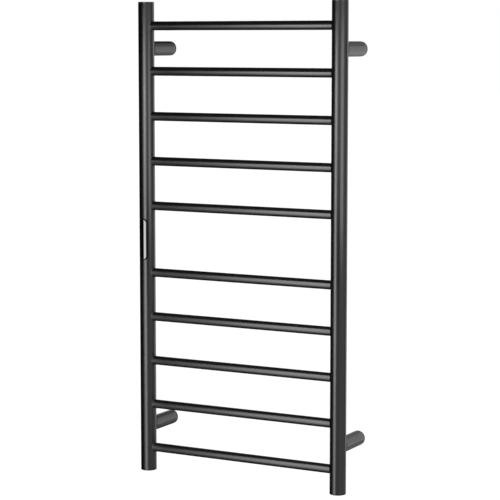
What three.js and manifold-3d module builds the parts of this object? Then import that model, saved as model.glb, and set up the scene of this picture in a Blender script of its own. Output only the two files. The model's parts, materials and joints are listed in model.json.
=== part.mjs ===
// Wall-hung towel warmer: two round posts, ten round bars, four wall brackets and a push control.
// X runs along the bars, Y runs into the wall and Z is up. The wall face is y = 0.
// The origin is the middle of the four wall fixings.
import * as THREE from 'three';
import { mergeVertices } from 'three/addons/utils/BufferGeometryUtils.js';
import Module from 'manifold-3d';

const wasm = await Module();
wasm.setup();

// Driving dimensions, in millimetres.
const fitGap = 0.3;             // between pieces that touch, slide or are pressed together

const railHeight = 1130;        // over both end caps
const postSpacing = 510;        // axis to axis
const postDiameter = 38;
const postWall = 1.5;
const wallToPost = 111;         // wall face to the plane of the post and bar axes

const barsPerGroup = 5;
const endMargin = 56.5;         // from an end of the rail to the axis of its outermost bar
const middleGap = 161;          // between the axes of the two bars beside the wide gap
const barDiameter = 21.3;
const barWall = 1.2;
const barPast = 1.4;            // how far a bar's end stands inside the post's bore

const capHead = 2.4;            // the part of an end cap that shows
const capRound = 0.7;
const capSkirt = 9;
const capSkirtWall = 1.6;

const sleeveDiameter = 35;
const sleeveWall = 2.5;
const sleeveEndWall = 5;        // solid end against the post, on the sleeve's axis
const boltDiameter = 11.4;
const boltBoreClearance = 0.4;  // round the supply lead in the bolt's bore
const boltHeadFlats = 18;
const boltHeadThickness = 5;
const boltPastNut = 1.2;
const nutWidth = 20;
const nutHeight = 18;
const nutThickness = 8;

const flangeDiameter = 34.4;
const flangeRim = 5;            // thickness that shows between the sleeve and the wall
const flangeFloor = 4;
const spigotLength = 19;
const spigotWall = 2.8;
const cableHole = 9;
const wallScrewHole = 4.8;
const wallScrewSpacing = 16;
const grubDiameter = 5;
const grubInset = 10;           // from the sleeve's wall end to the grub screw's axis
const grubSocket = 2.5;         // across flats
const grubSocketDepth = 1.5;

const bezelLength = 100;
const bezelWidth = 22.4;
const bezelProud = 2.6;         // curved face of the bezel in front of the post's surface
const bezelRim = 1.8;           // width of the rim round the key's head
const bezelLedge = 1.2;         // thickness of the ledge under the key's head
const bezelNeckWall = 1;
const bezelNeckOverlap = 1.6;   // how far the neck reaches round the front of the housing
const keyProud = 2.9;           // curved face of the key in front of the post's surface
const keyHeadEdge = 1.4;        // thickness of the key's head along its straight edges
const keyOverhang = 1.3;        // how far the head reaches past the stem
const keyWall = 2;
const keyFlange = 1;            // thickness of the key's clip flange
const keyFlangeWidth = 0.5;     // how far the flange reaches behind the ledge
const keyTravel = 0.8;
const keyBoss = 6;

const sealThickness = 1;
const sealMembrane = 0.5;
const sealRecess = 9;
const housingDepth = 19;
const housingWall = 1.4;
const boardThickness = 1.6;
const boardBack = 3;            // from the front edge of the housing to the face of the board
const boardEndGap = 1;          // from an end of the board to where the housing's end starts to curve
const fittingClearance = 0.4;   // round the board and what it carries, inside the housing
const ribWidth = 1;
const ribHeight = 10;
const ribClearance = 2;         // between the relay and the ribs that carry the board
const switchSize = 6;
const switchBody = 2.1;
const switchButton = 3.4;
const relayWidth = 6;
const relayDepth = 10;
const relayHeight = 20;
const relayOffset = 8;          // above the middle of the board
const terminalDepth = 8;
const terminalHeight = 12;
const terminalEndGap = 2;       // from the board's lower end to the terminal block

const cableDiameter = 5;        // heating cable
const cableBend = 10;           // bend radius of its centre line
const spliceDiameter = 7;
const spliceLength = 26;
const spliceInset = 2.5;        // from a bar's end to the splice inside it
const leadDiameter = 3.2;       // cold leads between the heating cable and the control
const leadBend = 7;
const supplyDiameter = 6.4;
const supplyBend = 13;
const supplyRise = 45.5;        // height over which the supply lead crosses from its bracket to its run
const grommetFlange = 1.6;
const grommetReach = 2;         // of the grommet's flange past the cable hole

// Where the leads run in the left post, from its axis: aside in X, and towards the wall in Y.
const leadRun = [-10, 5];
const supplyRunAside = -7;
const plugDepth = -3.5;         // of all leads where they enter the housing
const leadSwing = 33;           // height over which a lead crosses from its run to the housing
const housingStandoff = 14;     // straight height of a lead below or above the housing

// Facets round each kind of piece.
const postFacets = 32;
const barFacets = 20;
const sleeveFacets = 20;
const smallFacets = 12;
const hexFacets = 6;
const cableFacets = 8;
const capsuleEndFacets = 10;    // round each end of a capsule outline
const roundFacets = 2;          // from the side of an end cap to its top
const bendFacets = 2;           // along each bend of a cable
const toolPast = 1;             // how far a cutting tool runs past the face that it cuts

// Sizes that follow from the ones above.
const postRadius = postDiameter / 2;
const postBore = postRadius - postWall;
const barRadius = barDiameter / 2;
const barBore = barRadius - barWall;
const sleeveRadius = sleeveDiameter / 2;
const sleeveBore = sleeveRadius - sleeveWall;
const barEnd = Math.sqrt(postBore ** 2 - barRadius ** 2) - barPast;   // from a post's axis
const outerBar = railHeight / 2 - endMargin;                          // height of the outermost bar's axis
const barPitch = (outerBar - middleGap / 2) / (barsPerGroup - 1);
const bracketHeight = outerBar - barPitch / 2;                        // half way between the last two bars
const postTop = railHeight / 2 - capHead - fitGap;
const sleeveFront = -wallToPost + postRadius + fitGap;                // on the sleeve's axis
const boltSeat = sleeveFront + sleeveEndWall;
const sleeveBack = -flangeRim - fitGap;
const boltBore = supplyDiameter + 2 * boltBoreClearance;
const boltEnd = postBore - fitGap - nutThickness - boltPastNut;       // from the post's axis

// Outlines of the control: each is a capsule, given as width and length.
const keyOpening = [bezelWidth - 2 * bezelRim, bezelLength - 2 * bezelRim];
const keyOutline = grow(keyOpening, -fitGap);
const keyStem = grow(keyOutline, -keyOverhang);
const ledgeOpening = grow(keyStem, fitGap);
const keyFlangeOutline = grow(ledgeOpening, keyFlangeWidth);
const neckInside = grow(keyFlangeOutline, fitGap);
const neckOutside = grow(neckInside, bezelNeckWall);
const postSlot = grow(neckOutside, fitGap);
const sealOutline = keyFlangeOutline;
const housingOutline = keyFlangeOutline;
const housingInside = grow(housingOutline, -housingWall);

// Depths in the control, measured from the post's axis towards the front.
const bezelFace = postRadius + bezelProud;
const keyFace = postRadius + keyProud;
const keyHeadBack = Math.sqrt(keyFace ** 2 - (keyOutline[0] / 2) ** 2) - keyHeadEdge;
const ledgeFront = keyHeadBack - keyTravel - fitGap;
const ledgeBack = ledgeFront - bezelLedge;
const keyFlangeFront = ledgeBack - fitGap;
const keyFlangeBack = keyFlangeFront - keyFlange;
const sealFront = keyFlangeBack - keyTravel - fitGap;
const sealBack = sealFront - sealThickness;
const housingFront = sealBack - fitGap;
const housingFloor = housingFront - housingDepth + housingWall;
const boardFront = housingFront - boardBack;
const boardRear = boardFront - boardThickness;
const switchFront = boardFront + fitGap + switchBody;
const buttonFront = sealFront - sealMembrane - fitGap;

// What the housing holds, from its middle.
const housingHalfWidth = housingInside[0] / 2;
const boardWidth = housingInside[0] - 2 * fittingClearance;
const boardLength = housingInside[1] - housingInside[0] - 2 * boardEndGap;
const terminalWidth = housingInside[0] - 2 * ribWidth - 2 * fittingClearance;
const relayAside = housingHalfWidth - fittingClearance - relayWidth / 2;
const ribOffset = relayOffset + relayHeight / 2 + ribClearance + ribHeight / 2;
const terminalOffset = boardLength / 2 - terminalEndGap - terminalHeight / 2;
const leadPlug = [-(housingHalfWidth - ribWidth - fittingClearance - leadDiameter / 2), plugDepth];
const supplyPlug = [housingHalfWidth - fittingClearance - supplyDiameter / 2, plugDepth];
const supplyRun = [supplyRunAside, boltEnd - supplyBend];

const finish = {
  tube: material(0x35353a, 0.38, 0.6),
  flange: material(0x1b1b1d, 0.55, 0.4),
  steel: material(0x9a9ca0, 0.35, 0.9),
  gloss: material(0x050506, 0.08, 0.0),
  plastic: material(0x1c1c1e, 0.6, 0.0),
  silicone: material(0x6b6f73, 0.8, 0.0),
  board: material(0x1f5a36, 0.5, 0.0),
  component: material(0x24262b, 0.45, 0.0),
  terminal: material(0x4f7a4c, 0.5, 0.0),
  cable: material(0x8c3b2e, 0.6, 0.0),
  splice: material(0xb9b4a6, 0.6, 0.0),
  lead: material(0x2b2b2d, 0.6, 0.0),
};

function material(color, roughness, metalness) {
  return new THREE.MeshStandardMaterial({ color, roughness, metalness });
}

// A capsule [width, length] moved out by a margin all round.
function grow(outline, margin) {
  return outline.map((size) => size + 2 * margin);
}

// A closed geometry as a manifold-3d solid, and back.
function toSolid(geometry) {
  const bare = geometry.clone();
  bare.deleteAttribute('normal');
  bare.deleteAttribute('uv');
  const merged = mergeVertices(bare, 1e-4);
  const mesh = new wasm.Mesh({
    numProp: 3,
    vertProperties: Float32Array.from(merged.attributes.position.array),
    triVerts: Uint32Array.from(merged.index.array),
  });
  return new wasm.Manifold(mesh);
}

function toGeometry(solid) {
  const mesh = solid.getMesh();
  const geometry = new THREE.BufferGeometry();
  geometry.setAttribute('position', new THREE.BufferAttribute(Float32Array.from(mesh.vertProperties), 3));
  geometry.setIndex(new THREE.BufferAttribute(Uint32Array.from(mesh.triVerts), 1));
  geometry.computeVertexNormals();
  return geometry;
}

function cut(geometry, tools) {
  return toGeometry(tools.reduce((solid, tool) => solid.subtract(toSolid(tool)), toSolid(geometry)));
}

function join(geometries) {
  const [first, ...others] = geometries.map(toSolid);
  return toGeometry(others.reduce((solid, other) => solid.add(other), first));
}

function common(geometry, other) {
  return toGeometry(toSolid(geometry).intersect(toSolid(other)));
}

// A body of revolution about Z from [radius, z] points. The profile is listed so that its faces point out.
function revolve(profile, facets) {
  const points = profile.map(([radius, z]) => new THREE.Vector2(radius, z));
  return new THREE.LatheGeometry(points, facets).rotateX(Math.PI / 2);
}

// A plain rod or an open tube about Z between two heights.
function rod(radius, low, high, facets) {
  const bar = new THREE.CylinderGeometry(radius, radius, high - low, facets);
  return bar.rotateX(Math.PI / 2).translate(0, 0, (low + high) / 2);
}

function tube(radius, bore, low, high, facets) {
  return revolve([[bore, low], [radius, low], [radius, high], [bore, high], [bore, low]], facets);
}

// Turns a body made about Z to lie along X or along Y.
function alongX(geometry) {
  return geometry.rotateY(Math.PI / 2);
}

function alongY(geometry) {
  return geometry.rotateX(-Math.PI / 2);
}

function box(width, depth, height) {
  return new THREE.BoxGeometry(width, depth, height);
}

// A prism with a capsule outline in X and Z, between two distances in front of the post's axis.
function capsulePrism([width, length], front, back) {
  const radius = width / 2;
  const straight = length / 2 - radius;
  const outline = new THREE.Shape();
  outline.absarc(0, straight, radius, 0, Math.PI, false);
  outline.absarc(0, -straight, radius, Math.PI, 2 * Math.PI, false);
  outline.closePath();
  const prism = new THREE.ExtrudeGeometry(outline, {
    depth: front - back,
    bevelEnabled: false,
    curveSegments: capsuleEndFacets / 2,
  });
  return prism.rotateX(Math.PI / 2).translate(0, -back, 0);
}

// A path through hand-set stations, sampled at the stations themselves.
class StationPath extends THREE.Curve {
  constructor(stations) {
    super();
    this.stations = stations;
  }

  getPoint(t, target = new THREE.Vector3()) {
    const place = THREE.MathUtils.clamp(t, 0, 1) * (this.stations.length - 1);
    const index = Math.min(Math.floor(place), this.stations.length - 2);
    return target.lerpVectors(this.stations[index], this.stations[index + 1], place - index);
  }

  getUtoTmapping(u) {
    return u;
  }
}

// A round cable along stations.
function cable(stations, diameter) {
  const section = new THREE.Shape();
  section.absarc(0, 0, diameter / 2, 0, 2 * Math.PI, false);
  return new THREE.ExtrudeGeometry(section, {
    steps: stations.length - 1,
    extrudePath: new StationPath(stations),
    curveSegments: cableFacets / 2,
  });
}

// Stations of a polyline whose corners are rounded to a radius, each by a quarter turn or less.
function roundedRun(corners, bend) {
  const stations = [corners[0]];
  for (let i = 1; i < corners.length - 1; i += 1) {
    const inward = new THREE.Vector3().subVectors(corners[i - 1], corners[i]).normalize();
    const onward = new THREE.Vector3().subVectors(corners[i + 1], corners[i]).normalize();
    const halfAngle = inward.angleTo(onward) / 2;
    const reach = bend / Math.tan(halfAngle);
    const centre = new THREE.Vector3().addVectors(inward, onward).normalize();
    centre.multiplyScalar(bend / Math.sin(halfAngle)).add(corners[i]);
    const from = inward.clone().multiplyScalar(reach).add(corners[i]).sub(centre);
    const to = onward.clone().multiplyScalar(reach).add(corners[i]).sub(centre);
    const sweep = Math.PI - 2 * halfAngle;
    for (let step = 0; step <= bendFacets; step += 1) {
      const angle = (sweep * step) / bendFacets;
      const first = from.clone().multiplyScalar(Math.sin(sweep - angle) / Math.sin(sweep));
      const second = to.clone().multiplyScalar(Math.sin(angle) / Math.sin(sweep));
      stations.push(first.add(second).add(centre));
    }
  }
  stations.push(corners[corners.length - 1]);
  return stations;
}

const rail = new THREE.Group();
rail.name = 'towel_warmer';

function add(parent, name, geometry, surface, x = 0, y = 0, z = 0) {
  const mesh = new THREE.Mesh(geometry, surface.clone());
  mesh.name = name;
  mesh.position.set(x, y, z);
  parent.add(mesh);
  return mesh;
}

// Heights of the bars, from the top one down.
const upperHeights = Array.from({ length: barsPerGroup }, (_, i) => outerBar - i * barPitch);
const heights = [...upperHeights, ...upperHeights.map((height) => -height).reverse()];

// A post about its own axis. inner is the side, +1 or -1 in X, on which the bars enter.
function post(inner, hasControl) {
  const [low, high] = inner > 0 ? [0, 2 * postRadius] : [-2 * postRadius, 0];
  const tools = heights.map((height) => {
    return alongX(rod(barRadius + fitGap, low, high, barFacets)).translate(0, 0, height);
  });
  for (const side of [1, -1]) {
    const boltHole = alongY(rod(boltDiameter / 2 + fitGap, 0, 2 * postRadius, smallFacets));
    tools.push(boltHole.translate(0, 0, side * bracketHeight));
  }
  if (hasControl) tools.push(capsulePrism(postSlot, 2 * postRadius, 0));
  return cut(tube(postRadius, postBore, -postTop, postTop, postFacets), tools);
}

// An end cap with its head up, seated on z = 0.
function endCap() {
  const skirtOutside = postBore - fitGap;
  const skirtInside = skirtOutside - capSkirtWall;
  const profile = [[0, 0], [skirtInside, 0], [skirtInside, -capSkirt], [skirtOutside, -capSkirt]];
  profile.push([skirtOutside, 0], [postRadius, 0]);
  for (let i = 0; i <= roundFacets; i += 1) {
    const angle = (i / roundFacets) * (Math.PI / 2);
    const radius = postRadius - capRound + capRound * Math.cos(angle);
    profile.push([radius, capHead - capRound + capRound * Math.sin(angle)]);
  }
  profile.push([0, capHead]);
  return revolve(profile, postFacets);
}

function bar() {
  const half = postSpacing / 2 - barEnd;
  return alongX(tube(barRadius, barBore, -half, half, barFacets));
}

// The bracket sleeve: coped to the post at one end, open at the wall end, drilled for its bolt and screw.
function bracketSleeve() {
  const barrel = alongY(rod(sleeveRadius, -wallToPost, sleeveBack, sleeveFacets));
  const hollow = alongY(rod(sleeveBore, boltSeat, 0, sleeveFacets));
  const saddle = rod(postRadius + fitGap, -2 * sleeveRadius, 2 * sleeveRadius, postFacets);
  const boltHole = alongY(rod(boltDiameter / 2 + fitGap, -wallToPost, 0, smallFacets));
  const grubHole = rod(grubDiameter / 2 + fitGap, -2 * sleeveRadius, 0, smallFacets);
  saddle.translate(0, -wallToPost, 0);
  grubHole.translate(0, sleeveBack - grubInset, 0);
  return cut(barrel, [hollow, saddle, boltHole, grubHole]);
}

// A hollow hexagon-head bolt. Its head seats inside the sleeve and its shank ends inside the post.
function bracketBolt() {
  const headRadius = boltHeadFlats / Math.sqrt(3);
  const headFront = boltSeat + fitGap;
  const shankEnd = -wallToPost + boltEnd;
  const head = alongY(rod(headRadius, headFront, headFront + boltHeadThickness, hexFacets));
  const shank = alongY(rod(boltDiameter / 2, shankEnd, headFront + toolPast, smallFacets));
  const bore = alongY(rod(boltBore / 2, -2 * wallToPost, 0, smallFacets));
  return cut(join([head, shank]), [bore]);
}

// The nut block that lies against the inside of the post.
function bracketNut() {
  const seat = postBore - fitGap;
  const block = box(nutWidth, 2 * nutThickness, nutHeight);
  block.translate(0, seat, 0);
  const curved = common(block, rod(seat, -nutHeight, nutHeight, postFacets));
  const hole = alongY(rod(boltDiameter / 2 + fitGap, 0, 2 * postRadius, smallFacets));
  return cut(curved, [hole]).translate(0, -wallToPost, 0);
}

// The wall flange: a disc with a spigot inside the sleeve, a cable hole and two screw holes.
function wallFlange() {
  const disc = flangeDiameter / 2;
  const spigot = sleeveBore - fitGap;
  const spigotEnd = flangeRim + spigotLength;
  const profile = [
    [cableHole / 2, 0],
    [cableHole / 2, flangeFloor],
    [spigot - spigotWall, flangeFloor],
    [spigot - spigotWall, spigotEnd],
    [spigot, spigotEnd],
    [spigot, flangeRim],
    [disc, flangeRim],
    [disc, 0],
    [cableHole / 2, 0],
  ];
  const turned = revolve(profile.reverse(), sleeveFacets).rotateX(Math.PI / 2);
  const holes = [1, -1].map((side) => {
    const hole = alongY(rod(wallScrewHole / 2, -2 * flangeRim, flangeRim, smallFacets));
    return hole.translate(0, 0, (side * wallScrewSpacing) / 2);
  });
  return cut(turned, holes);
}

// A socket set screw in the sleeve's underside, its tip against the spigot.
function grubScrew() {
  const tip = -(sleeveBore - fitGap) - fitGap;
  const outside = -sleeveRadius + fitGap;
  const socketRadius = grubSocket / Math.sqrt(3);
  const body = rod(grubDiameter / 2, outside, tip, smallFacets);
  const socket = rod(socketRadius, outside - toolPast, outside + grubSocketDepth, hexFacets);
  return cut(body, [socket]).translate(0, sleeveBack - grubInset, 0);
}

// The bezel: a curved capsule ring that saddles the post, with a neck in the slot and a ledge under the key.
function controlBezel() {
  const front = bezelFace + toolPast;
  const face = rod(bezelFace, -bezelLength, bezelLength, 2 * postFacets);
  const saddle = rod(postRadius + fitGap, -bezelLength, bezelLength, postFacets);
  const ring = cut(capsulePrism([bezelWidth, bezelLength], front, 0), [saddle]);
  const neck = capsulePrism(neckOutside, front, housingFront - bezelNeckOverlap);
  const pocket = capsulePrism(neckInside, ledgeBack, 0);
  const recess = capsulePrism(keyOpening, front, ledgeFront);
  const opening = capsulePrism(ledgeOpening, front, 0);
  return cut(common(join([ring, neck]), face), [pocket, recess, opening]);
}

// The push key: a crowned head on a hollow stem, with a clip flange behind the ledge and a boss for the switch.
function controlKey() {
  const crown = rod(keyFace, -bezelLength, bezelLength, 2 * postFacets);
  const head = common(capsulePrism(keyOutline, keyFace + toolPast, keyHeadBack), crown);
  const stem = capsulePrism(keyStem, keyHeadBack + keyHeadEdge / 2, keyFlangeBack);
  const flange = capsulePrism(keyFlangeOutline, keyFlangeFront, keyFlangeBack);
  const hollow = capsulePrism(grow(keyStem, -keyWall), keyFace - keyWall, 0);
  const boss = alongY(rod(keyBoss / 2, -keyFace + keyWall / 2, -keyFlangeBack, smallFacets));
  return join([cut(join([head, stem, flange]), [hollow]), boss]);
}

// The silicone seal on the housing's edge, thinned from behind under the key's boss.
function keySeal() {
  const sheet = capsulePrism(sealOutline, sealFront, sealBack);
  const recess = alongY(rod(sealRecess / 2, -sealFront + sealMembrane, 0, smallFacets));
  return cut(sheet, [recess]);
}

// The control housing: an open tray inside the post, with ribs for the board and lead holes in its ends.
function controlHousing() {
  const tray = capsulePrism(housingOutline, housingFront, housingFront - housingDepth);
  const inside = capsulePrism(housingInside, housingFront + toolPast, housingFloor);
  const ribTop = boardRear - fitGap;
  const ribRoot = housingFloor - housingWall / 2;
  const ribs = [[1, 1], [1, -1], [-1, 1], [-1, -1]].map(([side, end]) => {
    const rib = box(ribWidth + housingWall / 2, ribTop - ribRoot, ribHeight);
    const across = side * (housingHalfWidth - ribWidth / 2 + housingWall / 4);
    return rib.translate(across, -(ribTop + ribRoot) / 2, end * ribOffset);
  });
  const end = housingOutline[1] / 2 + toolPast;
  const leadHole = leadDiameter / 2 + 2 * fitGap;
  const supplyHole = supplyDiameter / 2 + 2 * fitGap;
  const holes = [
    rod(leadHole, 0, end, smallFacets).translate(...leadPlug, 0),
    rod(leadHole, -end, 0, smallFacets).translate(...leadPlug, 0),
    rod(supplyHole, -end, 0, smallFacets).translate(...supplyPlug, 0),
  ];
  return join([cut(tray, [inside, ...holes]), ...ribs]);
}

// The tactile switch on the face of the board, its button under the seal's thin membrane.
function tactSwitch() {
  const body = box(switchSize, switchBody, switchSize);
  body.translate(0, -(switchFront - switchBody / 2), 0);
  const button = alongY(rod(switchButton / 2, -buttonFront, -switchFront + switchBody / 2, smallFacets));
  return join([body, button]);
}

// The grommet in the cable hole of the flange that the supply lead passes.
function cableGrommet() {
  const inside = supplyDiameter / 2 + fitGap;
  const neck = cableHole / 2 - fitGap;
  const flange = cableHole / 2 + grommetReach;
  const flangeFront = flangeFloor + fitGap;
  const profile = [
    [inside, fitGap],
    [neck, fitGap],
    [neck, flangeFront],
    [flange, flangeFront],
    [flange, flangeFront + grommetFlange],
    [inside, flangeFront + grommetFlange],
    [inside, fitGap],
  ];
  return revolve(profile, smallFacets).rotateX(Math.PI / 2);
}

// Heights of things that lie on the floor of a bar's bore, below the bar's axis.
function lyingDrop(diameter) {
  return barBore - diameter / 2 - fitGap;
}

const barStart = postSpacing / 2 - barEnd;
const spliceOuter = barStart - spliceInset;
const spliceInner = spliceOuter - spliceLength;

// The heating cable: along the floor of every bar and up inside a post from each bar to the next.
function heatingCable() {
  const turn = barStart + 2 * fitGap + cableBend;
  const drop = lyingDrop(cableDiameter);
  const corners = [new THREE.Vector3(-spliceInner + fitGap, 0, heights.at(-1) - drop)];
  for (let i = heights.length - 1; i > 0; i -= 1) {
    const side = (heights.length - 1 - i) % 2 === 0 ? 1 : -1;
    corners.push(new THREE.Vector3(side * turn, 0, heights[i] - drop));
    corners.push(new THREE.Vector3(side * turn, 0, heights[i - 1] - drop));
  }
  corners.push(new THREE.Vector3(-spliceInner + fitGap, 0, heights[0] - drop));
  return cable(roundedRun(corners, cableBend), cableDiameter);
}

// A cold lead from a splice, along the left post, into the housing. side is +1 for the upper one.
function coldLead(side) {
  const height = side > 0 ? heights[0] : heights.at(-1);
  const level = height - lyingDrop(spliceDiameter);
  const swingEnd = side * (housingOutline[1] / 2 + housingStandoff);
  const swingStart = swingEnd + side * leadSwing;
  const blockFace = -terminalOffset + side * (terminalHeight / 2 + fitGap);
  const axis = -postSpacing / 2;
  const corners = [
    new THREE.Vector3(-spliceOuter - fitGap, 0, level),
    new THREE.Vector3(axis + leadRun[0], leadRun[1], level),
    new THREE.Vector3(axis + leadRun[0], leadRun[1], swingStart),
    new THREE.Vector3(axis + leadPlug[0], leadPlug[1], swingEnd),
    new THREE.Vector3(axis + leadPlug[0], leadPlug[1], blockFace),
  ];
  return cable(roundedRun(corners, leadBend), leadDiameter);
}

// The supply lead from the wall through the lower left bracket and up the post to the terminal block.
function supplyLead() {
  const swingEnd = -housingOutline[1] / 2 - housingStandoff;
  const blockFace = -terminalOffset - terminalHeight / 2 - fitGap;
  const clearOfBracket = -bracketHeight + supplyRise;
  const axis = -postSpacing / 2;
  const corners = [
    new THREE.Vector3(axis, wallToPost - fitGap, -bracketHeight),
    new THREE.Vector3(axis, supplyRun[1], -bracketHeight),
    new THREE.Vector3(axis + supplyRun[0], supplyRun[1], clearOfBracket),
    new THREE.Vector3(axis + supplyRun[0], supplyRun[1], swingEnd - leadSwing),
    new THREE.Vector3(axis + supplyPlug[0], supplyPlug[1], swingEnd),
    new THREE.Vector3(axis + supplyPlug[0], supplyPlug[1], blockFace),
  ];
  return cable(roundedRun(corners, supplyBend), supplyDiameter);
}

// Assembly. ladder holds what stands on the plane of the posts and bars.
const ladder = new THREE.Group();
ladder.position.y = -wallToPost;
rail.add(ladder);

for (const [name, side] of [['left', -1], ['right', 1]]) {
  const x = (side * postSpacing) / 2;
  add(ladder, `${name}_post`, post(-side, side < 0), finish.tube, x);
  add(ladder, `${name}_post_top_cap`, endCap(), finish.tube, x, 0, postTop + fitGap);
  const lower = add(ladder, `${name}_post_bottom_cap`, endCap(), finish.tube, x, 0, -postTop - fitGap);
  lower.rotation.x = Math.PI;
}

heights.forEach((height, index) => {
  add(ladder, `bar_${String(index + 1).padStart(2, '0')}`, bar(), finish.tube, 0, 0, height);
});

for (const [level, up] of [['upper', 1], ['lower', -1]]) {
  for (const [name, side] of [['left', -1], ['right', 1]]) {
    const bracket = new THREE.Group();
    bracket.position.set((side * postSpacing) / 2, 0, up * bracketHeight);
    add(bracket, `${level}_${name}_bracket_sleeve`, bracketSleeve(), finish.tube);
    add(bracket, `${level}_${name}_bracket_bolt`, bracketBolt(), finish.steel);
    add(bracket, `${level}_${name}_bracket_nut`, bracketNut(), finish.steel);
    add(bracket, `${level}_${name}_wall_flange`, wallFlange(), finish.flange);
    add(bracket, `${level}_${name}_grub_screw`, grubScrew(), finish.steel);
    rail.add(bracket);
  }
}

const control = new THREE.Group();
control.position.x = -postSpacing / 2;
add(control, 'control_bezel', controlBezel(), finish.gloss);
add(control, 'control_key', controlKey(), finish.gloss);
add(control, 'key_seal', keySeal(), finish.silicone);
add(control, 'control_housing', controlHousing(), finish.plastic);
const boardMiddle = -(boardFront + boardRear) / 2;
add(control, 'circuit_board', box(boardWidth, boardThickness, boardLength), finish.board, 0, boardMiddle);
add(control, 'tact_switch', tactSwitch(), finish.component);
const relay = box(relayWidth, relayDepth, relayHeight);
const relayMiddle = -(boardRear - fitGap - relayDepth / 2);
add(control, 'relay', relay, finish.component, relayAside, relayMiddle, relayOffset);
const terminal = box(terminalWidth, terminalDepth, terminalHeight);
const terminalMiddle = -(boardRear - fitGap - terminalDepth / 2);
add(control, 'terminal_block', terminal, finish.terminal, 0, terminalMiddle, -terminalOffset);
ladder.add(control);

const spliceMiddle = -(spliceOuter + spliceInner) / 2;
for (const [name, side] of [['upper', 1], ['lower', -1]]) {
  const level = (side > 0 ? heights[0] : heights.at(-1)) - lyingDrop(spliceDiameter);
  const sleeve = alongX(rod(spliceDiameter / 2, -spliceLength / 2, spliceLength / 2, smallFacets));
  add(ladder, `${name}_splice`, sleeve, finish.splice, spliceMiddle, 0, level);
  add(ladder, `${name}_cold_lead`, coldLead(side), finish.lead);
}
add(ladder, 'heating_cable', heatingCable(), finish.cable);
add(ladder, 'supply_lead', supplyLead(), finish.lead);
add(rail, 'cable_grommet', cableGrommet(), finish.silicone, -postSpacing / 2, 0, -bracketHeight);

export default rail;
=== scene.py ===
import json
import math

import bmesh
import bpy
import numpy as np
from mathutils import Matrix, Vector


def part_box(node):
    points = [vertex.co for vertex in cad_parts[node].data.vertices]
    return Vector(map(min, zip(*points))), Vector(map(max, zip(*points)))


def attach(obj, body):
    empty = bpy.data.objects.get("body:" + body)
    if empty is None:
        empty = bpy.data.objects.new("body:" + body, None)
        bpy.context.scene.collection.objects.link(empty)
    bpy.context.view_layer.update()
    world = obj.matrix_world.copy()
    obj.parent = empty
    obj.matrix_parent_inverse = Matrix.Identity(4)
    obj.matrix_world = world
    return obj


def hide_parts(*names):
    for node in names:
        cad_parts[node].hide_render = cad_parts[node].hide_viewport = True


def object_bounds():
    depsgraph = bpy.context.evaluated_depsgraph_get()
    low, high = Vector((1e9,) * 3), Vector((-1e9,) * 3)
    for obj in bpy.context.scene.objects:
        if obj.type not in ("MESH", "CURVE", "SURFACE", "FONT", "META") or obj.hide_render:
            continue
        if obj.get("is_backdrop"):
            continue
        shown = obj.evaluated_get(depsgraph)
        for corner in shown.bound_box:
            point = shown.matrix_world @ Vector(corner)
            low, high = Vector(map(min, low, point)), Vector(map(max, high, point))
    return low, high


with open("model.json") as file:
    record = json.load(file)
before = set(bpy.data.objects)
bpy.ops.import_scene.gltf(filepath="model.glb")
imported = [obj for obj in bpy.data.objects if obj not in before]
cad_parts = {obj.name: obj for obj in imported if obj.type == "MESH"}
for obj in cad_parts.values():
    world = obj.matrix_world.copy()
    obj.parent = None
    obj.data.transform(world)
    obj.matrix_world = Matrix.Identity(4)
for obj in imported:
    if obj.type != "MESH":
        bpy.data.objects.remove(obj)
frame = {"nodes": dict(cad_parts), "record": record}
cadLow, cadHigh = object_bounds()
slotOf = {part["node"]: part["material_slot"] for part in frame["record"]["subparts"]}
print("frame loaded,", len(frame["nodes"]), "nodes")


def addObject(name, data):
    # a new object that is linked into the scene
    made = bpy.data.objects.new(name, data)
    bpy.context.scene.collection.objects.link(made)
    return made


# the camera stands to the right of the rail, level with its upper bars, and looks down at it;
# lengths are in metres and angles in degrees, here and below
view = {
    "azimuth": 28.37,      # round from straight in front, towards +X
    "pitch": 6.21,         # down
    "distance": 4.193,
    "aimAside": 0.0252,    # of the point that it looks at, from the middle of the posts' plane
    "aimUp": 0.0234,
    "lens": 129.5,         # in millimetres
    "shift": -0.03,        # as a share of the frame
}


def placeCamera():
    # the eye is the aimed point moved back along the line of sight, which the two angles give
    around, down = math.radians(view["azimuth"]), math.radians(view["pitch"])
    level = math.cos(down)
    sight = Vector((-math.sin(around) * level, math.cos(around) * level, -math.sin(down)))
    low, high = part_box("bar_01")
    aim = Vector((view["aimAside"], (low.y + high.y) / 2, view["aimUp"]))
    data = bpy.data.cameras.new("view")
    data.lens = view["lens"]
    data.shift_y = view["shift"]
    camera = addObject("view", data)
    camera.location = aim - sight * view["distance"]
    camera.rotation_mode = "QUATERNION"
    camera.rotation_quaternion = sight.to_track_quat("-Z", "Y")
    bpy.context.scene.camera = camera


placeCamera()
print("camera placed")


# every surface is a grid of points, with rows along it and columns round it
def gridMesh(name, points, closedRows=True):
    # neighbouring points are joined by quads; the last column joins the first, and so does the last row
    # of a closed ring; points that fall together, at a pole or on a spine, are merged
    rows, columns = points.shape[:2]
    i, j = np.meshgrid(np.arange(rows if closedRows else rows - 1), np.arange(columns), indexing="ij")
    nextRow, nextColumn = (i + 1) % rows, (j + 1) % columns
    quads = np.stack([i * columns + j, nextRow * columns + j, nextRow * columns + nextColumn,
                      i * columns + nextColumn], axis=-1).reshape(-1, 4)
    mesh = bpy.data.meshes.new(name)
    mesh.from_pydata(points.reshape(-1, 3).tolist(), [], quads.tolist())
    cleanMesh(mesh)
    return mesh


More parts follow.
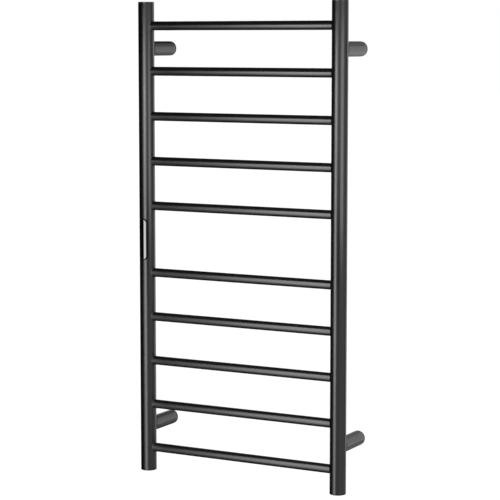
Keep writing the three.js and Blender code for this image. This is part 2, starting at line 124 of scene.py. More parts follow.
def cleanMesh(mesh, mergeWithin=1e-7):
    # points closer than mergeWithin become one, faces without area go, and the rest are turned outwards
    work = bmesh.new()
    work.from_mesh(mesh)
    bmesh.ops.remove_doubles(work, verts=work.verts, dist=mergeWithin)
    bmesh.ops.dissolve_degenerate(work, edges=work.edges, dist=mergeWithin)
    bmesh.ops.recalc_face_normals(work, faces=work.faces)
    work.to_mesh(mesh)
    work.free()


def roundedOutline(corners, steps):
    # each corner is (radius from the axis, height, rounding); a rounded corner becomes an arc that touches
    # both sides, centre + rounding x a direction that turns evenly between the two touching points
    corners = np.array(corners, float)
    outline = []
    for here, before, after in zip(corners, np.roll(corners, 1, 0), np.roll(corners, -1, 0)):
        point, rounding = here[:2], here[2]
        if rounding == 0:
            outline.append(point[None])
            continue
        back, on = before[:2] - point, after[:2] - point
        back, on = back / np.linalg.norm(back), on / np.linalg.norm(on)
        half = math.acos(np.clip(back @ on, -1, 1)) / 2
        middle = (back + on) / np.linalg.norm(back + on)
        centre = point + middle * rounding / math.sin(half)
        first = point + back * rounding / math.tan(half) - centre
        last = point + on * rounding / math.tan(half) - centre
        share = np.linspace(0, 1, steps + 1)[:, None]
        sweep = math.pi - 2 * half
        arc = (first * np.sin((1 - share) * sweep) + last * np.sin(share * sweep)) / math.sin(sweep)
        outline.append(centre + arc)
    return np.concatenate(outline)


def turned(outline, around, axis="z", closedRows=True):
    # a body of revolution: every outline point (radius, height) runs round the axis in a circle
    angle = np.arange(around) * 2 * np.pi / around
    radius, height = outline[:, 0, None], outline[:, 1, None]
    across, up = radius * np.cos(angle), radius * np.sin(angle)
    along = height + 0 * angle
    parts = (across, up, along) if axis == "z" else (across, along, up)
    return gridMesh("turned", np.stack(parts, axis=-1), closedRows)


def rod(radius, low, high, axis, around=48):
    # a plain closed cylinder along an axis, for a drill or a boss
    outline = np.array([(0, low), (radius, low), (radius, high), (0, high)])
    return turned(outline, around, axis, closedRows=False)


def capsulePath(width, length, pointsPerEnd, pointsPerSide):
    # points round a capsule, place = spine point + radius x outward direction: the directions turn through
    # half a circle at each end and stay level along the sides, where the spine point moves instead
    radius, straight = width / 2, length / 2 - width / 2
    turn = np.linspace(0, np.pi, pointsPerEnd)
    along = np.linspace(1, -1, pointsPerSide + 2)[1:-1] * straight
    top = np.stack([np.cos(turn), np.sin(turn)], -1)
    side = np.stack([-np.ones(pointsPerSide), np.zeros(pointsPerSide)], -1)
    outward = np.concatenate([top, side, -top, -side])
    atTop, atBottom = np.full(pointsPerEnd, straight), np.full(pointsPerEnd, -straight)
    spine = np.concatenate([atTop, along, atBottom, -along])
    place = outward * radius
    place[:, 1] += spine
    return place, outward, spine


def merged(name, meshes):
    # one mesh that holds the closed shells of several
    work = bmesh.new()
    for mesh in meshes:
        work.from_mesh(mesh)
    result = bpy.data.meshes.new(name)
    work.to_mesh(result)
    work.free()
    return result


def movedTo(mesh, x, y, z):
    # the place goes into the mesh, and the piece's object stays at the origin
    mesh.transform(Matrix.Translation((x, y, z)))
    return mesh


def finishPiece(mesh, name, material, node, body="rail", sharpAngle=38):
    # the piece stands for its CAD node, which is hidden, and takes the finish it is given; flat and round
    # faces part at sharp edges
    mesh.name = name
    piece = addObject(name, mesh)
    mesh.materials.clear()
    mesh.materials.append(material)
    mesh.shade_smooth()
    mesh.set_sharp_from_angle(angle=math.radians(sharpAngle))
    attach(piece, body)
    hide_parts(node)


def drilled(mesh, cutters):
    # the mesh less the cutter meshes, by an exact boolean that is applied at once
    body = addObject("drillBody", mesh)
    tools = []
    for cutter in cutters:
        tool = addObject("drillTool", cutter)
        modifier = body.modifiers.new("cut", "BOOLEAN")
        modifier.operation = "DIFFERENCE"
        modifier.solver = "EXACT"
        modifier.object = tool
        tools.append(tool)
    bpy.context.view_layer.update()
    result = bpy.data.meshes.new_from_object(body.evaluated_get(bpy.context.evaluated_depsgraph_get()))
    for leftover in [body, *tools]:
        bpy.data.objects.remove(leftover)
    cleanMesh(result, 1e-6)
    return result


def newMaterial(name):
    # the material, its nodes and links, and its shader
    material = bpy.data.materials.new(name)
    material.use_nodes = True
    nodes, links = material.node_tree.nodes, material.node_tree.links
    return material, nodes, links, nodes["Principled BSDF"]


def grainNode(nodes, links, scale, detail):
    # noise on the piece's own coordinates, with its scale in waves to the metre
    place = nodes.new("ShaderNodeTexCoord")
    noise = nodes.new("ShaderNodeTexNoise")
    noise.inputs["Scale"].default_value = scale
    noise.inputs["Detail"].default_value = detail
    links.new(place.outputs["Object"], noise.inputs["Vector"])
    return noise.outputs["Fac"]


def spread(nodes, links, factor, low, high, fromLow=0.3, fromHigh=0.7):
    # the factor's usual range stretched to run from low to high
    reach = nodes.new("ShaderNodeMapRange")
    reach.inputs["From Min"].default_value = fromLow
    reach.inputs["From Max"].default_value = fromHigh
    reach.inputs["To Min"].default_value = low
    reach.inputs["To Max"].default_value = high
    links.new(factor, reach.inputs["Value"])
    return reach.outputs["Result"]


def twoTones(nodes, links, factor, dark, light, darkAt=0.35, lightAt=0.65):
    # the factor's usual range as a colour between dark and light
    ramp = nodes.new("ShaderNodeValToRGB")
    ramp.color_ramp.elements[0].position = darkAt
    ramp.color_ramp.elements[0].color = (*dark, 1)
    ramp.color_ramp.elements[1].position = lightAt
    ramp.color_ramp.elements[1].color = (*light, 1)
    links.new(factor, ramp.inputs["Fac"])
    return ramp.outputs["Color"]


def bumps(nodes, links, shader, *layers):
    # each layer is (height factor, depth in metres), laid one over the other
    normal = None
    for factor, depth in layers:
        bump = nodes.new("ShaderNodeBump")
        bump.inputs["Strength"].default_value = 1.0
        bump.inputs["Distance"].default_value = depth
        links.new(factor, bump.inputs["Height"])
        if normal is not None:
            links.new(normal, bump.inputs["Normal"])
        normal = bump.outputs["Normal"]
    links.new(normal, shader.inputs["Normal"])


powderCoat = {
    "dark": (0.0035, 0.0035, 0.0040),
    "light": (0.0060, 0.0060, 0.0067),
    "roughness": (0.27, 0.31),
    "specular": 1.0,
    "cloudScale": 14.0,     # of the slow change in gloss
    "peelScale": 420.0,     # of the orange peel
    "peelDepth": 0.000012,
    "grainScale": 2600.0,
    "grainDepth": 0.000003,
}


def satinBlack():
    # powder coat: orange peel under a fine grain in its relief, and slow clouds in its gloss
    material, nodes, links, shader = newMaterial("satin_black_powder_coat")
    peel = grainNode(nodes, links, powderCoat["peelScale"], detail=1.5)
    grain = grainNode(nodes, links, powderCoat["grainScale"], detail=3.0)
    cloud = grainNode(nodes, links, powderCoat["cloudScale"], detail=3.0)
    colour = twoTones(nodes, links, grain, powderCoat["dark"], powderCoat["light"])
    gloss = spread(nodes, links, cloud, *powderCoat["roughness"])
    links.new(colour, shader.inputs["Base Color"])
    links.new(gloss, shader.inputs["Roughness"])
    shader.inputs["Specular IOR Level"].default_value = powderCoat["specular"]
    bumps(nodes, links, shader, (peel, powderCoat["peelDepth"]), (grain, powderCoat["grainDepth"]))
    return material


def plainFinish(name, dark, light, roughness, metallic=0.0, scale=900.0, depth=0.00001, specular=0.5):
    # a moulded, cast or plated surface: fine grain in its colour and relief, and clouds twenty times as wide
    # in its gloss
    material, nodes, links, shader = newMaterial(name)
    grain = grainNode(nodes, links, scale, detail=3.0)
    cloud = grainNode(nodes, links, scale / 20, detail=2.0)
    links.new(twoTones(nodes, links, grain, dark, light), shader.inputs["Base Color"])
    links.new(spread(nodes, links, cloud, *roughness), shader.inputs["Roughness"])
    shader.inputs["Metallic"].default_value = metallic
    shader.inputs["Specular IOR Level"].default_value = specular
    bumps(nodes, links, shader, (grain, depth))
    return material


pianoBlack = {
    "dark": (0.0030, 0.0030, 0.0034),
    "light": (0.0040, 0.0040, 0.0044),
    "roughness": (0.045, 0.065),
    "specular": 1.0,
    "coat": 1.0,
    "coatRoughness": 0.03,
    "coatIndex": 1.9,       # of refraction
    "grainScale": 1500.0,
    "waveScale": 60.0,      # the slow waviness of a polished moulding
    "waveDepth": 0.000004,
}


def glossBlack():
    # a polished moulding under a clear coat
    material, nodes, links, shader = newMaterial("piano_black_key")
    wave = grainNode(nodes, links, pianoBlack["waveScale"], detail=1.0)
    grain = grainNode(nodes, links, pianoBlack["grainScale"], detail=2.0)
    colour = twoTones(nodes, links, grain, pianoBlack["dark"], pianoBlack["light"])
    gloss = spread(nodes, links, wave, *pianoBlack["roughness"])
    links.new(colour, shader.inputs["Base Color"])
    links.new(gloss, shader.inputs["Roughness"])
    shader.inputs["Specular IOR Level"].default_value = pianoBlack["specular"]
    shader.inputs["Coat Weight"].default_value = pianoBlack["coat"]
    shader.inputs["Coat Roughness"].default_value = pianoBlack["coatRoughness"]
    shader.inputs["Coat IOR"].default_value = pianoBlack["coatIndex"]
    bumps(nodes, links, shader, (wave, pianoBlack["waveDepth"]))
    return material


plainFinishes = {
    "flange_finish": {
        "name": "matte_black_casting", "dark": (0.006, 0.006, 0.0065), "light": (0.011, 0.011, 0.012),
        "roughness": (0.50, 0.60), "scale": 1600.0, "depth": 0.00002,
    },
    "bolt_steel": {
        "name": "zinc_plated_steel", "dark": (0.36, 0.36, 0.37), "light": (0.48, 0.48, 0.50),
        "roughness": (0.28, 0.40), "scale": 1200.0, "depth": 0.000006, "metallic": 1.0,
    },
    "bezel_plastic": {
        "name": "matte_black_bezel", "dark": (0.0018, 0.0018, 0.0020), "light": (0.0028, 0.0028, 0.0030),
        "roughness": (0.38, 0.46), "scale": 1600.0, "depth": 0.000006, "specular": 0.12,
    },
    "silicone": {
        "name": "grey_silicone", "dark": (0.11, 0.12, 0.13), "light": (0.16, 0.17, 0.18),
        "roughness": (0.55, 0.65),
    },
    "control_plastic": {
        "name": "black_moulding", "dark": (0.016, 0.016, 0.018), "light": (0.024, 0.024, 0.026),
        "roughness": (0.45, 0.58),
    },
    "board_laminate": {
        "name": "green_board", "dark": (0.010, 0.075, 0.026), "light": (0.018, 0.120, 0.042),
        "roughness": (0.30, 0.42),
    },
    "component_plastic": {
        "name": "component_black", "dark": (0.016, 0.016, 0.02), "light": (0.026, 0.026, 0.03),
        "roughness": (0.40, 0.50),
    },
    "terminal_plastic": {
        "name": "terminal_green", "dark": (0.05, 0.15, 0.05), "light": (0.08, 0.23, 0.08),
        "roughness": (0.35, 0.45),
    },
    "splice_sleeve": {
        "name": "cream_sleeving", "dark": (0.38, 0.35, 0.27), "light": (0.50, 0.47, 0.39),
        "roughness": (0.50, 0.60),
    },
    "lead_jacket": {
        "name": "black_jacket", "dark": (0.015, 0.015, 0.017), "light": (0.026, 0.026, 0.028),
        "roughness": (0.48, 0.60),
    },
    "heating_jacket": {
        "name": "red_silicone_jacket", "dark": (0.20, 0.035, 0.02), "light": (0.28, 0.06, 0.035),
        "roughness": (0.45, 0.55),
    },
}
finishes = {slot: plainFinish(**finish) for slot, finish in plainFinishes.items()}
finishes["tube_finish"] = satinBlack()
finishes["key_plastic"] = glossBlack()
print("finishes made,", len(finishes))

# every CAD node takes its finish, also where a piece made below stands for it
for name, node in frame["nodes"].items():
    for slot in node.material_slots:
        slot.material = finishes[slotOf[name]]

# the posts are straight round tubes, their ends broken by a small round; here and below, around is the
# number of points round a piece, and steps say how finely a curve is cut
post = {"wall": 0.0015, "endRound": 0.00035, "roundSteps": 4, "around": 160}


def postMesh(radius, low, high):
    # the tube's wall, a rectangle of radius and height with rounded corners, turned round the axis
    outline = roundedOutline([
        (radius, low, post["endRound"]),
        (radius, high, post["endRound"]),
        (radius - post["wall"], high, post["endRound"]),
        (radius - post["wall"], low, post["endRound"]),
    ], post["roundSteps"])
    return turned(outline, post["around"])


postAxis = {}
for side in ("left", "right"):
    low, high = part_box(side + "_post")
    postAxis[side] = ((low.x + high.x) / 2, (low.y + high.y) / 2)
    postRadius = (high.x - low.x) / 2
    mesh = movedTo(postMesh(postRadius, low.z, high.z), *postAxis[side], 0)
    finishPiece(mesh, side + "_post_tube", finishes["tube_finish"], side + "_post")
halfSpacing = (postAxis["right"][0] - postAxis["left"][0]) / 2
tubePlane = postAxis["left"][1]

# an end cap has a shallow head with a rounded edge, and a skirt inside the tube
cap = {
    "edgeRound": 0.0007,
    "seamRound": 0.0002,
    "skirtRound": 0.0003,
    "skirtWall": 0.0016,
    "skirtGap": 0.0002,     # to the tube's bore
    "seam": 0.0003,         # between the tube's end and the head
    "roundSteps": 6,
    "around": 160,
}


def capMesh(radius, head, skirt):
    # half the cap's section, the head above height 0 and the skirt below it, turned round the axis
    outside = radius - post["wall"] - cap["skirtGap"]
    inside = outside - cap["skirtWall"]
    outline = roundedOutline([
        (0, head, 0),
        (radius, head, cap["edgeRound"]),
        (radius, 0, cap["seamRound"]),
        (outside, 0, 0),
        (outside, -skirt, cap["skirtRound"]),
        (inside, -skirt, cap["skirtRound"]),
        (inside, 0, 0),
        (0, 0, 0),
    ], cap["roundSteps"])
    return turned(outline, cap["around"], closedRows=False)


for side in ("left", "right"):
    for end, sign in (("top", 1), ("bottom", -1)):
        node = side + "_post_" + end + "_cap"
        low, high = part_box(node)
        postLow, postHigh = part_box(side + "_post")
        tubeEnd, outer, inner = (postHigh.z, high.z, low.z) if sign > 0 else (postLow.z, low.z, high.z)
        seat = tubeEnd + sign * cap["seam"]
        mesh = capMesh(postRadius, abs(outer - seat), abs(seat - inner))
        if sign < 0:
            mesh.transform(Matrix.Rotation(math.pi, 4, "X"))
        finishPiece(movedTo(mesh, *postAxis[side], seat), node + "_shell", finishes["tube_finish"], node)
print("posts and caps made")

# the bars are tubes whose ends run into the posts, each joined to the post by a small fillet of weld
bar = {"wall": 0.0012, "weld": 0.0011, "weldSteps": 8, "straightRows": 8, "around": 96}


def barMesh(radius, halfLength):
    # a column at angle t round the bar lies at y = radius cos t; the post's surface is met there at
    # halfSpacing - sqrt(postRadius^2 - y^2), and near it the radius grows along a quarter circle; past it
    # the tube goes on inside the post
    angle = np.arange(bar["around"]) * 2 * np.pi / bar["around"]

    def meets(reach):
        return halfSpacing - np.sqrt(postRadius**2 - (reach * np.cos(angle))**2)

    weld = bar["weld"]
    turn = np.linspace(np.pi / 2, 0, bar["weldSteps"] + 1)
    reach = radius + weld * (1 - np.sin(turn))
    fillet = [(r + 0 * angle, meets(r) - weld * (1 - math.cos(a))) for r, a in zip(reach, turn)]
    share = np.linspace(0, 1, bar["straightRows"])[:-1]
    straight = [(radius + 0 * angle, s * fillet[0][1]) for s in share]
    hidden = [(radius + 0 * angle, meets(radius) + weld / 2), (radius + 0 * angle, halfLength + 0 * angle)]
    half = straight + fillet + hidden
    inner = [(radius - bar["wall"] + 0 * angle, x + 0 * angle) for x in (halfLength, 0, -halfLength)]
    mirrored = [(r, -x) for r, x in half[:0:-1]]
    rows = half + inner + mirrored
    radii, along = np.array([r for r, _ in rows]), np.array([x for _, x in rows])
    return gridMesh("bar", np.stack([along, radii * np.cos(angle), radii * np.sin(angle)], axis=-1))


for node in sorted(name for name in frame["nodes"] if name.startswith("bar_")):
    low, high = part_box(node)
    mesh = barMesh((high.z - low.z) / 2, (high.x - low.x) / 2)
    movedTo(mesh, 0, tubePlane, (low.z + high.z) / 2)
    finishPiece(mesh, node + "_tube", finishes["tube_finish"], node)
print("bars made")

# a bracket's sleeve is saddled to the post in front and open to the wall behind
sleeve = {
    "wall": 0.0025,
    "endWall": 0.005,
    "boltHole": 0.006,      # the holes are given by their radius
    "gap": 0.00025,         # to the post
    "saddleRound": 0.0003,
    "wallRound": 0.0005,
    "grubHole": 0.0028,
    "grubInset": 0.010,     # from the end at the wall
    "drillPast": 0.002,
    "roundSteps": 4,
    "saddleRows": 10,
    "barrelSteps": 13,
    "around": 120,
}


def sleeveMesh(radius, wallEnd):
    # rows run from the bolt hole out over the saddle, where a point x aside of the axis lies at
    # sqrt(saddleRadius^2 - x^2) from the post's axis, along the barrel, and back in through the bore
    angle = np.arange(sleeve["around"]) * 2 * np.pi / sleeve["around"]
    saddleRadius = postRadius + sleeve["gap"]

    def saddle(reach):
        return np.sqrt(saddleRadius**2 - (reach * np.cos(angle))**2)

    edge, wallEdge = sleeve["saddleRound"], sleeve["wallRound"]
    quarter = np.linspace(0, np.pi / 2, sleeve["roundSteps"] + 1)
    rim = radius - edge
    rows = [(r, saddle(r)) for r in np.linspace(sleeve["boltHole"], rim, sleeve["saddleRows"])]
    rows += [(rim + edge * math.sin(a), saddle(rim) + edge * (1 - math.cos(a))) for a in quarter[1:]]
    start, end = saddle(rim) + edge, wallEnd - wallEdge
    rows += [(radius, along) for along in np.linspace(start, end, sleeve["barrelSteps"] + 1)[1:]]
    rows += [(radius - wallEdge * (1 - math.cos(a)), end + wallEdge * math.sin(a)) for a in quarter[1:]]
    seat = saddleRadius + sleeve["endWall"]
    rows += [(radius - sleeve["wall"], wallEnd), (radius - sleeve["wall"], seat), (sleeve["boltHole"], seat)]
    radii = np.array([r + 0 * angle for r, _ in rows])
    along = np.array([a + 0 * angle for _, a in rows])
    return gridMesh("sleeve", np.stack([radii * np.cos(angle), along, radii * np.sin(angle)], axis=-1))


# a wall flange is a disc that shows between the sleeve and the wall, with a spigot inside the sleeve
flange = {
    "floor": 0.004,
    "spigotWall": 0.0028,
    "spigotGap": 0.0003,    # to the sleeve's bore
    "rimGap": 0.0003,       # to the sleeve's open end
    "cableHole": 0.0045,    # the holes are given by their radius
    "screwHole": 0.0024,
    "screwSpacing": 0.016,
    "wallRound": 0.0004,
    "rimRound": 0.0002,
    "smallRound": 0.0003,
    "drillPast": 0.001,
    "drillDepth": 0.01,
    "roundSteps": 4,
    "around": 120,
}


def flangeMesh(radius, rim, spigotEnd, spigot):
    # half the flange's section, whose heights are distances from the wall, turned round Y so that the body
    # lies along -Y, and drilled for the two screws
    inside, small = spigot - flange["spigotWall"], flange["smallRound"]
    outline = roundedOutline([
        (flange["cableHole"], 0, small),
        (radius, 0, flange["wallRound"]),
        (radius, rim, flange["rimRound"]),
        (spigot, rim, 0),
        (spigot, spigotEnd, small),
        (inside, spigotEnd, small),
        (inside, flange["floor"], 0),
        (flange["cableHole"], flange["floor"], small),
    ], flange["roundSteps"])
    mesh = turned(outline * (1, -1), flange["around"], axis="y")
    drills = []
    for sign in (1, -1):
        drill = rod(flange["screwHole"], -flange["drillDepth"], flange["drillPast"], "y")
        drills.append(movedTo(drill, 0, 0, sign * flange["screwSpacing"] / 2))
    return drilled(mesh, drills)


# a grub screw with a hexagon socket sits in the underside of each sleeve
grub = {
    "socket": 0.00125,      # half of it, across the flats
    "socketDepth": 0.0015,
    "chamfer": 0.0004,
    "around": 48,
}


def grubMesh(radius, low, high):
    # rows of plain circles, and for the socket rows whose radius at angle t is that of a hexagon,
    # half its width across the flats / cos(t folded into one sixth of a turn)
    angle = np.arange(grub["around"]) * 2 * np.pi / grub["around"]
    folded = np.mod(angle, np.pi / 3) - np.pi / 6
    hexagon = grub["socket"] / np.cos(folded)
    circle = 1 + 0 * angle
    floor, chamfer = low + grub["socketDepth"], grub["chamfer"]
    rows = [
        (0 * circle, floor),
        (hexagon, floor),
        (hexagon, low),
        ((radius - chamfer) * circle, low),
        (radius * circle, low + chamfer),
        (radius * circle, high - chamfer),
        ((radius - chamfer) * circle, high),
        (0 * circle, high),
    ]
    radii = np.array([r for r, _ in rows])
    up = np.array([z + 0 * angle for _, z in rows])
    points = np.stack([radii * np.cos(angle), radii * np.sin(angle), up], axis=-1)
    return gridMesh("grub", points, closedRows=False)


for level in ("upper", "lower"):
    for side in ("left", "right"):
        bracket = level + "_" + side
        low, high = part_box(bracket + "_bracket_sleeve")
        x, z = postAxis[side][0], (low.z + high.z) / 2
        radius = (high.z - low.z) / 2
        mesh = sleeveMesh(radius, high.y - tubePlane)
        drill = rod(sleeve["grubHole"], -radius - sleeve["drillPast"], 0, "z")
        mesh = drilled(mesh, [movedTo(drill, 0, high.y - tubePlane - sleeve["grubInset"], 0)])
        finishPiece(movedTo(mesh, x, tubePlane, z), bracket + "_sleeve_tube", finishes["tube_finish"],
                    bracket + "_bracket_sleeve")

        flangeLow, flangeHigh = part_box(bracket + "_wall_flange")
        spigot = radius - sleeve["wall"] - flange["spigotGap"]
        rim = -high.y - flange["rimGap"]
        mesh = flangeMesh((flangeHigh.z - flangeLow.z) / 2, rim, -flangeLow.y, spigot)
        finishPiece(movedTo(mesh, x, 0, z), bracket + "_flange_body", finishes["flange_finish"],
                    bracket + "_wall_flange")

        grubLow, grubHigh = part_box(bracket + "_grub_screw")
        mesh = grubMesh((grubHigh.x - grubLow.x) / 2, grubLow.z, grubHigh.z)
        finishPiece(movedTo(mesh, x, (grubLow.y + grubHigh.y) / 2, 0), bracket + "_set_screw",
                    finishes["bolt_steel"], bracket + "_grub_screw")
print("brackets made")

# the control is a capsule bezel saddled to the left post, with a crowned push key inside it
bezel = {
    "rim": 0.0018,          # this and the next three are measured in from the bezel's outline
    "ledgeIn": 0.0031,
    "neckIn": 0.0023,
    "neckOut": 0.0013,
    "ledgeFront": 0.01742,  # this and the next lie in front of the post's axis
    "ledgeBack": 0.01622,
    "saddleGap": 0.00015,   # to the post
    "outerRound": 0.0007,
    "innerRound": 0.0004,
    "roundSteps": 6,
    "endPoints": 49,        # round each end of the capsule
    "sidePoints": 24,
}
key = {
    "gap": 0.0003,          # to the bezel's rim
    "headBack": 0.01852,    # this and the next lie in front of the post's axis
    "flangeFront": 0.01592,
    "overhang": 0.0013,     # of the head past the stem
    "flange": 0.0008,       # how far the clip stands out from the stem
    "wall": 0.002,
    "boss": 0.003,          # radius
    "edgeRound": 0.0007,
    "edgeSteps": 8,
    "across": 16,
}


def onCylinder(radius, x):
    # depth of a cylinder about the post's axis at a distance x to the side: sqrt(radius^2 - x^2)
    return np.sqrt(np.clip(radius**2 - x**2, 0, None))


def bezelMesh(width, length, face, back):
    # a section is carried round the capsule: each row is (distance in from the outline, kind, amount), and
    # its depth in front of the post's axis is the amount itself where it is level, that of the face's
    # cylinder less the amount on the face, and that of the post's surface plus the gap on the saddle
    place, outward, _ = capsulePath(width, length, bezel["endPoints"], bezel["sidePoints"])
    rim, big, small = bezel["rim"], bezel["outerRound"], bezel["innerRound"]
    turn = np.linspace(0, np.pi / 2, bezel["roundSteps"] + 1)
    rows = [(0, "saddle", 0)]
    rows += [(big * (1 - math.sin(a)), "face", big * (1 - math.cos(a))) for a in turn[::-1]]
    rows += [(rim - small * (1 - math.sin(a)), "face", small * (1 - math.cos(a))) for a in turn]
    rows += [(rim, "level", bezel["ledgeFront"]), (bezel["ledgeIn"], "level", bezel["ledgeFront"]),
             (bezel["ledgeIn"], "level", bezel["ledgeBack"]), (bezel["neckIn"], "level", bezel["ledgeBack"]),
             (bezel["neckIn"], "level", back), (bezel["neckOut"], "level", back),
             (bezel["neckOut"], "saddle", 0)]
    grid = []
    for inward, kind, amount in rows:
        x, z = (place - inward * outward).T
        if kind == "level":
            depth = amount + 0 * x
        elif kind == "face":
            depth = onCylinder(face, x) - amount
        else:
            depth = onCylinder(postRadius + bezel["saddleGap"], x)
        grid.append(np.stack([x, -depth, z], axis=-1))
    return gridMesh("bezel", np.array(grid))


def keyMesh(width, length, crown, back):
    # each column runs from the key's spine out to its capsule outline on a cylinder about the post's axis,
    # drops over the edge by a quarter circle, goes in under the head and down the stem to its flange, and
    # comes back up inside the wall; a boss stands in the middle, rooted in the head
    place, outward, spine = capsulePath(width, length, bezel["endPoints"], bezel["sidePoints"])
    edge, radius = key["edgeRound"], width / 2
    stem, wall = radius - key["overhang"], key["wall"]
    turn = np.linspace(0, np.pi / 2, key["edgeSteps"] + 1)[1:]
    rows = [(r, "face", 0) for r in np.linspace(0, radius - edge, key["across"])]
    rows += [(radius - edge + edge * math.sin(a), "face", edge * (1 - math.cos(a))) for a in turn]
    rows += [(radius, "level", key["headBack"]), (stem, "level", key["headBack"]),
             (stem, "level", key["flangeFront"]), (stem + key["flange"], "level", key["flangeFront"]),
             (stem + key["flange"], "level", back), (stem - wall, "level", back),
             (stem - wall, "level", crown - wall), (0, "level", crown - wall)]
    grid = []
    for reach, kind, amount in rows:
        x, z = reach * outward[:, 0], spine + reach * outward[:, 1]
        depth = onCylinder(crown, x) - amount if kind == "face" else amount + 0 * x
        grid.append(np.stack([x, -depth, z], axis=-1))
    shell = gridMesh("key", np.array(grid), closedRows=False)
    boss = rod(key["boss"], wall / 2 - crown, -back, "y")
    return merged("key", [shell, boss])


bezelLow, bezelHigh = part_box("control_bezel")
keyLow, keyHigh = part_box("control_key")
bezelWidth, bezelLength = bezelHigh.x - bezelLow.x, bezelHigh.z - bezelLow.z
mesh = bezelMesh(bezelWidth, bezelLength, tubePlane - bezelLow.y, tubePlane - bezelHigh.y)
movedTo(mesh, postAxis["left"][0], tubePlane, 0)
finishPiece(mesh, "control_bezel_ring", finishes["bezel_plastic"], "control_bezel")
opening = 2 * (bezel["rim"] + key["gap"])
mesh = keyMesh(bezelWidth - opening, bezelLength - opening, tubePlane - keyLow.y, tubePlane - keyHigh.y)
movedTo(mesh, postAxis["left"][0], tubePlane, 0)
finishPiece(mesh, "push_key", finishes["key_plastic"], "control_key", body="key")
print("control made")

# the studio is a pale floor far below the rail, white all round, softboxes, and cards that only mirrors see
studio = {
    "floorBelow": 1.0,      # from the rail's lower end down to the floor
    "floorReach": 60.0,     # from the middle to each side
    "floorColour": (0.86, 0.86, 0.86),
    "floorRoughness": 0.9,
    "floorSpecular": 0.1,
    "floorGlow": 0.78,      # of plain white, added to the floor for the eye and for mirrors
    "fill": 0.30,           # what the white room gives as light
    "lampColour": (0.96, 0.95, 1.0),
}
# softboxes and upright cards stand on these lines, each between two points of the plan
planLines = {
    "highLamp": ((-0.46, -1.05), (0.06, -1.32)),
    "leftLamps": ((-0.52, -1.02), (0.00, -1.29)),
    "sideLamp": ((0.88, -0.89), (1.00, -0.25)),
    "left": ((-1.12, -1.50), (-1.62, 1.20)),
    "nearLeft": ((-0.53, -1.03), (-1.13, -1.51)),
    "overLamps": ((-0.53, -1.03), (0.18, -1.40)),
    "gapNear": ((0.06, -1.35), (0.50, -1.17)),
    "gapFar": ((0.50, -1.17), (0.90, -0.92)),
    "gap": ((0.02, -1.34), (0.90, -0.92)),
    "right": ((0.91, -0.93), (2.50, 1.20)),
    "farRight": ((2.50, 1.20), (2.25, 2.40)),
    "back": ((0.00, 3.60), (-2.00, 3.20)),
}
softboxes = {
    "high": {"line": "highLamp", "heights": (0.28, 0.66), "radiance": 4.1},
    "middle": {"line": "leftLamps", "heights": (-0.60, 0.28), "radiance": 2.4},
    "low": {"line": "leftLamps", "heights": (-1.50, -0.60), "radiance": 1.5},
    "side": {"line": "sideLamp", "heights": (-0.05, 0.66), "radiance": 1.95},
}
uprightCards = {
    "left": {"line": "left", "heights": (-1.50, 1.60), "shade": 0.0},
    "nearLeftTop": {"line": "nearLeft", "heights": (0.50, 1.60), "shade": 0.0},
    "nearLeftHigh": {"line": "nearLeft", "heights": (0.04, 0.50), "shade": 0.9},
    "nearLeftMiddle": {"line": "nearLeft", "heights": (-0.25, 0.04), "shade": 0.0},
    "nearLeftLow": {"line": "nearLeft", "heights": (-1.50, -0.25), "shade": 1.0},
    "over": {"line": "overLamps", "heights": (0.64, 1.60), "shade": 0.05},
    "gapHighNear": {"line": "gapNear", "heights": (0.15, 1.60), "shade": 0.95},
    "gapHighFar": {"line": "gapFar", "heights": (0.00, 1.60), "shade": 0.40},
    "gapUpper": {"line": "gapNear", "heights": (0.00, 0.15), "shade": 0.50},
    "gapMiddle": {"line": "gap", "heights": (-0.30, 0.00), "shade": 0.0},
    "gapLow": {"line": "gap", "heights": (-1.50, -0.30), "shade": 0.36},
    "right": {"line": "right", "heights": (-1.50, 1.60), "shade": 0.5},
    "farRight": {"line": "farRight", "heights": (-1.50, 1.60), "shade": 0.1},
    "back": {"line": "back", "heights": (-1.50, 1.60), "shade": 0.5},
}
levelCards = {
    "above": {"x": (-2.2, 2.6), "y": (-1.65, 1.00), "height": 1.50, "shade": 0.03},
    "aboveBackLeft": {"x": (-2.2, -0.2), "y": (1.00, 3.50), "height": 1.50, "shade": 0.03},
    "aboveBackRight": {"x": (-0.2, 2.6), "y": (1.00, 3.50), "height": 1.50, "shade": 0.4},
    "belowLeft": {"x": (-2.2, 0.1), "y": (-1.62, -0.30), "height": -1.51, "shade": 0.3},
    "belowRight": {"x": (0.1, 2.3), "y": (-1.62, -0.30), "height": -1.51, "shade": 0.1},
    "belowMiddle": {"x": (-2.2, 2.3), "y": (-0.30, 0.50), "height": -1.51, "shade": 0.0},
    "belowBackLeft": {"x": (-2.2, -0.2), "y": (0.50, 3.40), "height": -1.51, "shade": 0.0},
    "belowBackRight": {"x": (-0.2, 2.3), "y": (0.50, 3.40), "height": -1.51, "shade": 0.4},
}


def seenRays(nodes, links):
    # 1 for rays from the eye, off gloss or through glass, and 0 for light that falls on a matte surface
    path = nodes.new("ShaderNodeLightPath")
    first = nodes.new("ShaderNodeMath")
    second = nodes.new("ShaderNodeMath")
    first.operation = second.operation = "MAXIMUM"
    links.new(path.outputs["Is Camera Ray"], first.inputs[0])
    links.new(path.outputs["Is Glossy Ray"], first.inputs[1])
    links.new(first.outputs[0], second.inputs[0])
    links.new(path.outputs["Is Transmission Ray"], second.inputs[1])
    return second.outputs[0]


def whiteWorld():
    # strength 1, plain white, where it is seen, and the fill's strength where it only lights
    world = bpy.data.worlds.new("white_room")
    world.use_nodes = True
    nodes, links = world.node_tree.nodes, world.node_tree.links
    background = nodes["Background"]
    background.inputs["Color"].default_value = (1, 1, 1, 1)
    strength = spread(nodes, links, seenRays(nodes, links), studio["fill"], 1.0, fromLow=0.0, fromHigh=1.0)
    links.new(strength, background.inputs["Strength"])
    bpy.context.scene.world = world


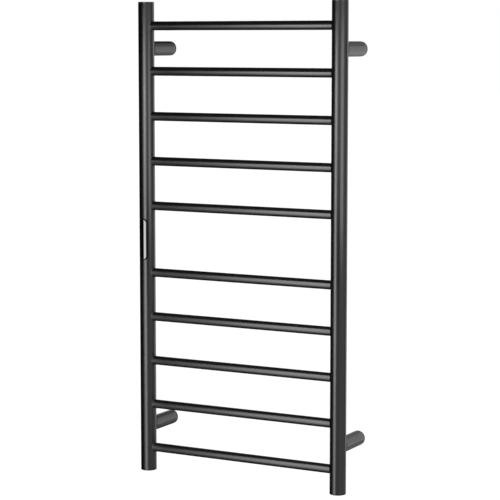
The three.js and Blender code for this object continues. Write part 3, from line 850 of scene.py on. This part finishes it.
def stageSheet(name, corners):
    # a flat sheet between four corners, which belongs to the studio and not to the rail
    mesh = bpy.data.meshes.new(name)
    mesh.from_pydata(corners, [], [(0, 1, 2, 3)])
    sheet = addObject(name, mesh)
    sheet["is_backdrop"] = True
    return sheet


def levelCorners(x, y, height):
    # the corners of a level rectangle, in turn
    return [(x[0], y[0], height), (x[1], y[0], height), (x[1], y[1], height), (x[0], y[1], height)]


def uprightCorners(ends, heights):
    # the corners of an upright rectangle over a line of the plan, in turn
    (firstX, firstY), (lastX, lastY) = ends
    low, high = heights
    return [(firstX, firstY, low), (lastX, lastY, low), (lastX, lastY, high), (firstX, firstY, high)]


def paleFloor():
    # a matte floor that keeps shadows, with a white glow added where it is seen
    span = (-studio["floorReach"], studio["floorReach"])
    floor = stageSheet("floor", levelCorners(span, span, cadLow.z - studio["floorBelow"]))
    material, nodes, links, shader = newMaterial("pale_floor")
    shader.inputs["Base Color"].default_value = (*studio["floorColour"], 1)
    shader.inputs["Roughness"].default_value = studio["floorRoughness"]
    shader.inputs["Specular IOR Level"].default_value = studio["floorSpecular"]
    glow = nodes.new("ShaderNodeEmission")
    both = nodes.new("ShaderNodeAddShader")
    seen = seenRays(nodes, links)
    links.new(spread(nodes, links, seen, 0.0, studio["floorGlow"], 0.0, 1.0), glow.inputs["Strength"])
    links.new(shader.outputs["BSDF"], both.inputs[0])
    links.new(glow.outputs["Emission"], both.inputs[1])
    links.new(both.outputs["Shader"], nodes["Material Output"].inputs["Surface"])
    floor.data.materials.append(material)


def addSoftbox(name, ends, heights, radiance):
    # it faces square to the line between its ends, on the rail's side, and its power gives the radiance
    # that its face shows: radiance x pi x area
    ends = np.array(ends)
    low, high = heights
    along = ends[1] - ends[0]
    middle = ends.mean(axis=0)
    facing = Vector((along[1], -along[0], 0))
    if facing.dot(Vector((-middle[0], tubePlane - middle[1], 0))) < 0:
        facing.negate()
    width, height = np.linalg.norm(along), high - low
    lamp = bpy.data.lights.new(name, "AREA")
    lamp.shape = "RECTANGLE"
    lamp.size, lamp.size_y = width, height
    lamp.color = studio["lampColour"]
    lamp.energy = radiance * math.pi * width * height
    light = addObject(name, lamp)
    light.location = (middle[0], middle[1], (low + high) / 2)
    light.rotation_mode = "QUATERNION"
    light.rotation_quaternion = facing.to_track_quat("-Z", "Y")
    light.visible_camera = False


def addCard(name, corners, shade):
    # a card of one even shade that only mirrors see: it lights nothing matte and casts no shadow
    card = stageSheet(name, corners)
    material, nodes, links, shader = newMaterial("shade_of_" + name)
    nodes.remove(shader)
    glow = nodes.new("ShaderNodeEmission")
    glow.inputs["Strength"].default_value = shade
    links.new(glow.outputs["Emission"], nodes["Material Output"].inputs["Surface"])
    card.data.materials.append(material)
    card.visible_camera = False
    card.visible_shadow = False
    card.visible_diffuse = False


whiteWorld()
paleFloor()
for name, box in softboxes.items():
    addSoftbox(name + "_softbox", planLines[box["line"]], box["heights"], box["radiance"])
for name, card in uprightCards.items():
    addCard(name + "_card", uprightCorners(planLines[card["line"]], card["heights"]), card["shade"])
for name, card in levelCards.items():
    addCard(name + "_card", levelCorners(card["x"], card["y"], card["height"]), card["shade"])
bpy.context.scene.view_settings.view_transform = "Standard"
print("studio made")

low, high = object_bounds()
